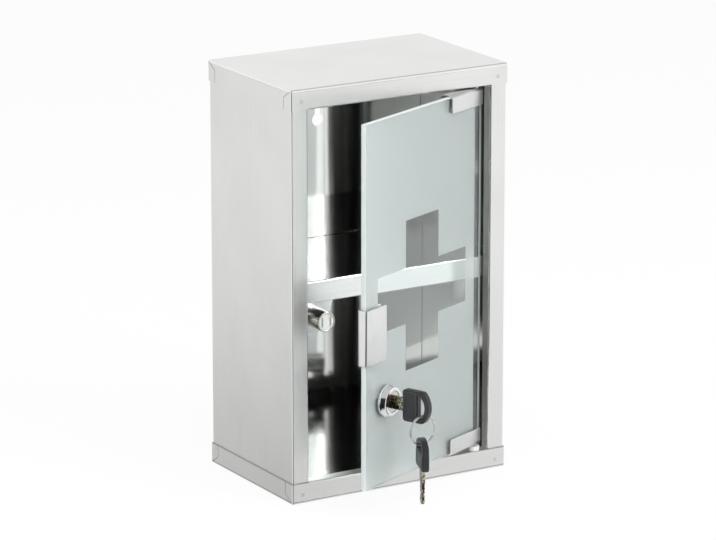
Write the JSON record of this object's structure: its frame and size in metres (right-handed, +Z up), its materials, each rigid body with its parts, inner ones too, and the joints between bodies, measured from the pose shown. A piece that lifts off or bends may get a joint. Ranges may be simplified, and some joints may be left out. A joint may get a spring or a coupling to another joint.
{
  "type": "glass door medical cabinet",
  "caption": "Small stainless steel wall cabinet for medicines, with a shelf, a pivot-hung frosted glass door with a clear cross, a clip handle, a magnetic catch and a cam lock with keys.",
  "frame": {"origin": "middle of the base, on the plane the cabinet stands on", "axes": "+X to the right as seen from the front, +Y to the back, +Z up"},
  "size_m": [0.178, 0.1993, 0.3],
  "materials": {
    "sheet_steel": "folded stainless sheet, brushed outside, bright inside",
    "plated_steel": "bright zinc plate",
    "satin_steel": "fine satin",
    "chrome": "polished chrome plate",
    "nickel": "nickel plate",
    "ferrite": "matt sintered ferrite",
    "white_nylon": "matt nylon",
    "black_plastic": "fine grained moulding",
    "rubber": "matt",
    "glass": "clear float glass with ground edges",
    "frosting": "frosted layer, satin"
  },
  "bodies": {
    "cabinet": {"top_cover": "sheet_steel", "bottom_tray": "sheet_steel", "left_side_panel": "sheet_steel", "right_side_panel": "sheet_steel", "back_panel": "sheet_steel", "shelf": "sheet_steel", "upper_hinge_bush": "white_nylon", "lower_hinge_bush": "white_nylon", "catch_bracket": "plated_steel", "catch_barrel": "nickel", "catch_magnet": "ferrite", "catch_pole_left": "plated_steel", "catch_pole_right": "plated_steel", "catch_insert": "white_nylon", "catch_screw": "plated_steel"},
    "door": {"door_glass": "glass", "door_frosting": "frosting", "upper_hinge_clip": "satin_steel", "upper_hinge_pin": "plated_steel", "upper_clip_pad": "rubber", "upper_pressure_plate": "plated_steel", "upper_clamp_screw_1": "plated_steel", "upper_clamp_screw_2": "plated_steel", "lower_hinge_clip": "satin_steel", "lower_hinge_pin": "plated_steel", "lower_clip_pad": "rubber", "lower_pressure_plate": "plated_steel", "lower_clamp_screw_1": "plated_steel", "lower_clamp_screw_2": "plated_steel", "handle_clip": "satin_steel", "handle_front_pad": "rubber", "handle_rear_pad": "rubber", "lock_housing": "chrome", "lock_gasket": "rubber", "lock_washer": "plated_steel", "lock_nut": "plated_steel"},
    "lock_plug": {"lock_plug": "nickel", "lock_cam": "plated_steel", "cam_screw": "plated_steel", "lock_wafer_1": "nickel", "lock_wafer_2": "nickel", "lock_wafer_3": "nickel", "lock_wafer_4": "nickel"},
    "key": {"key_blade": "chrome", "key_head": "black_plastic"},
    "key_ring": {"key_ring": "chrome"},
    "spare_key": {"spare_key_blade": "chrome", "spare_key_head": "black_plastic"}
  },
  "joints": [
    {"name": "door_hinge", "type": "hinge", "parent": "cabinet", "child": "door", "pos_m": [0.0648, -0.0544, 0.15], "axis": [0, 0, 1], "range_deg": [-23.7, 111.3]},
    {"name": "lock_turn", "type": "hinge", "parent": "door", "child": "lock_plug", "pos_m": [-0.03757, -0.09934, 0.0805], "axis": [-0.4019, 0.9157, 0], "range_deg": [0, 90]},
    {"name": "key_pull", "type": "slide", "parent": "lock_plug", "child": "key", "axis": [0.4019, -0.9157, 0], "range_m": [0, 0.02]},
    {"name": "ring_swing", "type": "hinge", "parent": "key", "child": "key_ring", "pos_m": [-0.02457, -0.12896, 0.07465], "axis": [-0.9923, -0.1236, 0], "range_deg": [-15, 60]},
    {"name": "spare_key_swing", "type": "hinge", "parent": "key_ring", "child": "spare_key", "pos_m": [-0.02457, -0.12896, 0.05345], "axis": [-0.9923, -0.1236, 0], "range_deg": [-15, 60]}
  ]
}
